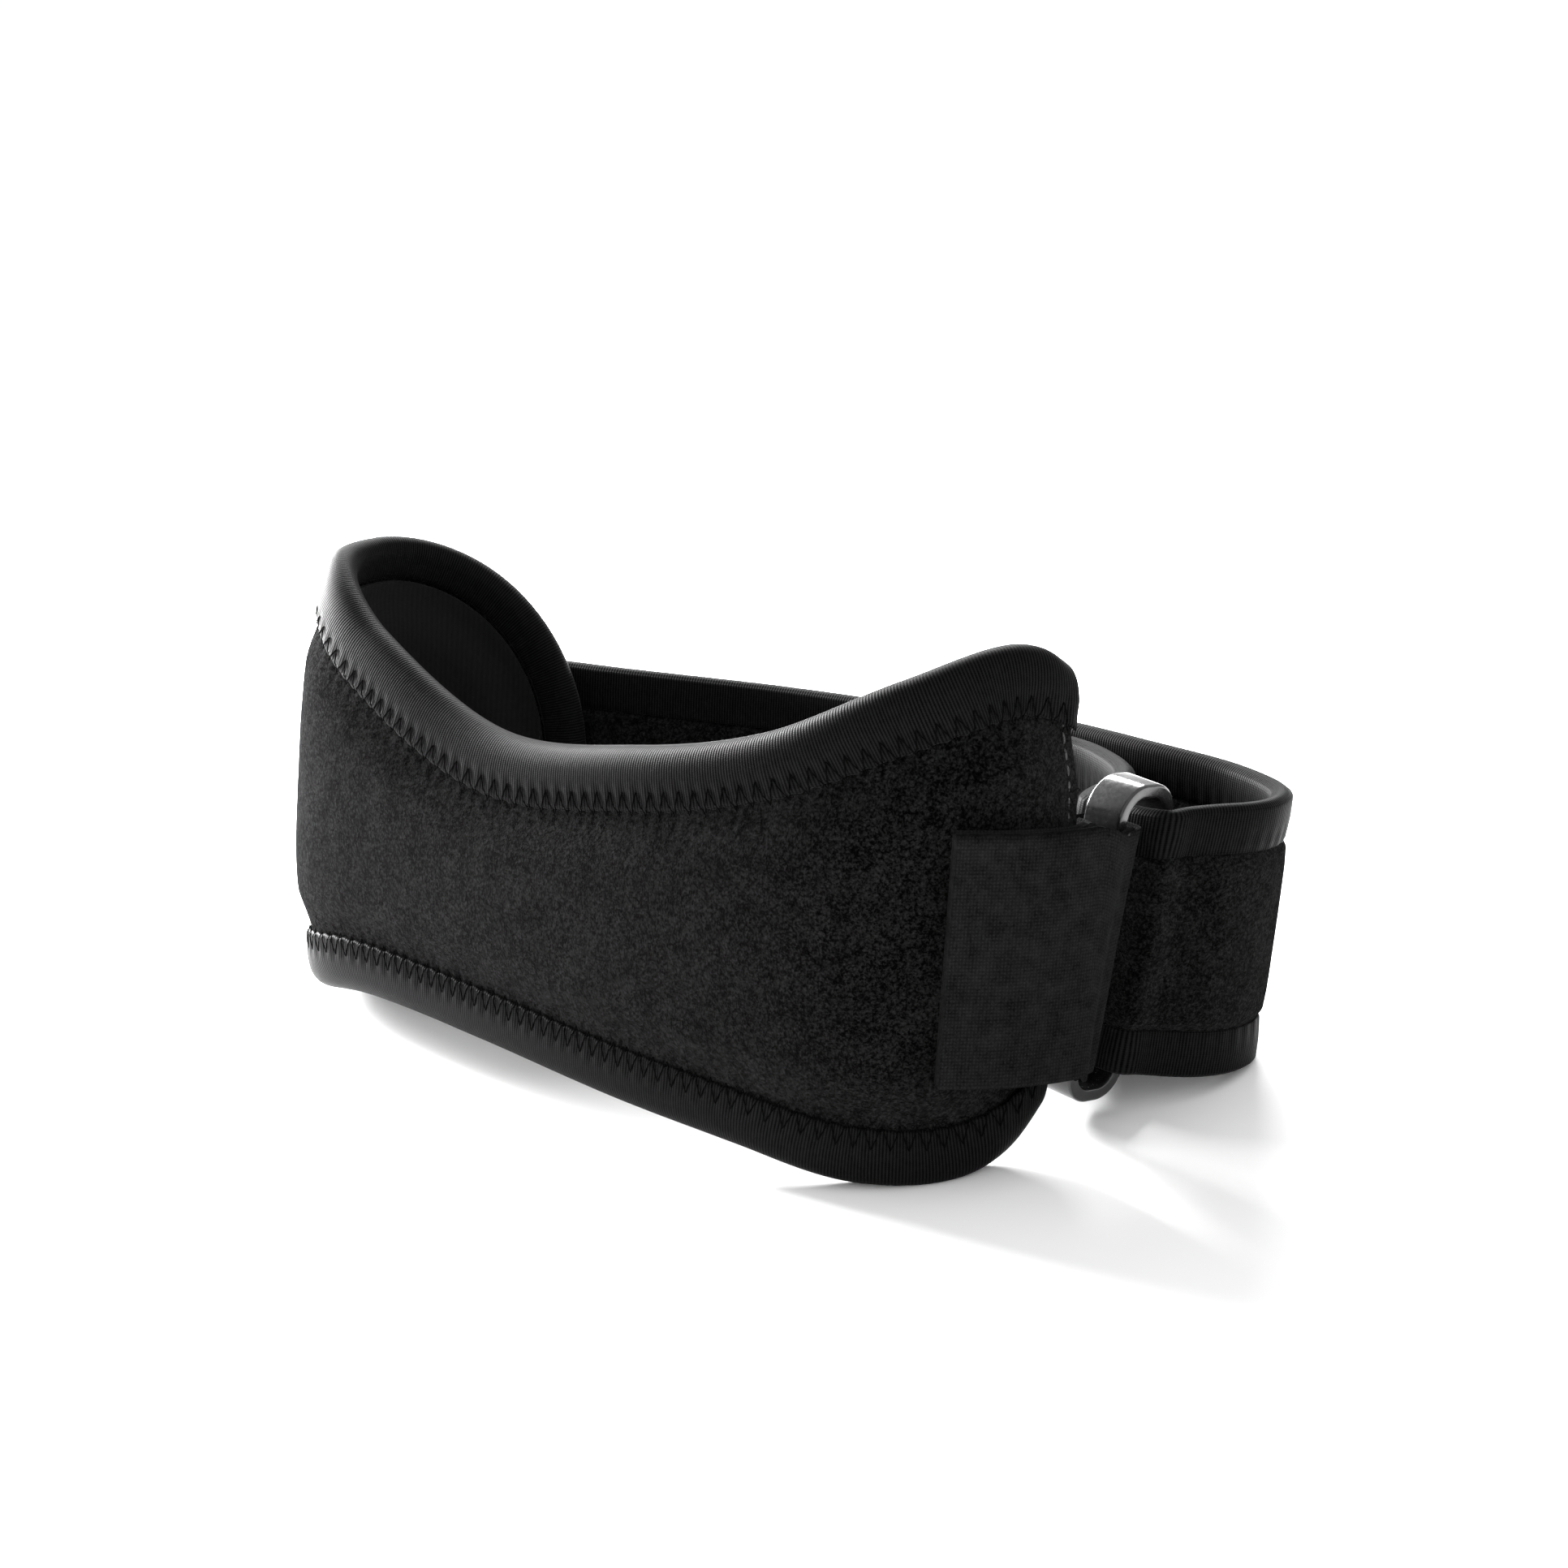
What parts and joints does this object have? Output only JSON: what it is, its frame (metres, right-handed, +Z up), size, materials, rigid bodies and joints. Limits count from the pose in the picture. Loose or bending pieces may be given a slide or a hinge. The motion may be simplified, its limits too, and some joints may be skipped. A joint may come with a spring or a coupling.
{
  "type": "patella strap",
  "caption": "Padded knee band for below the kneecap, with bound edges, a slide ring on a tab and a strap that fastens back on itself.",
  "frame": {"origin": "on the floor under the middle of the part's box", "axes": "+Z up, +X to the viewer's right with the slide ring on that side, +Y away from the viewer towards the back of the knee"},
  "size_m": [0.1872, 0.143, 0.09],
  "materials": {
    "pad_cloth": "brushed loop cloth",
    "strap_cloth": "brushed loop cloth",
    "lining_cloth": "smooth knit",
    "ribbed_tape": "ribbed elastic tape",
    "woven_tape": "fine woven tape",
    "ring_lacquer": "gloss black",
    "hook_plastic": "matte"
  },
  "bodies": {
    "root": {"pad_shell": "pad_cloth", "pad_lining": "lining_cloth", "pad_binding": "ribbed_tape", "strap_body": "strap_cloth", "strap_top_binding": "ribbed_tape", "strap_bottom_binding": "ribbed_tape", "ring_tab": "woven_tape", "slide_ring": "ring_lacquer", "hook_patch": "hook_plastic"}
  },
  "joints": []
}
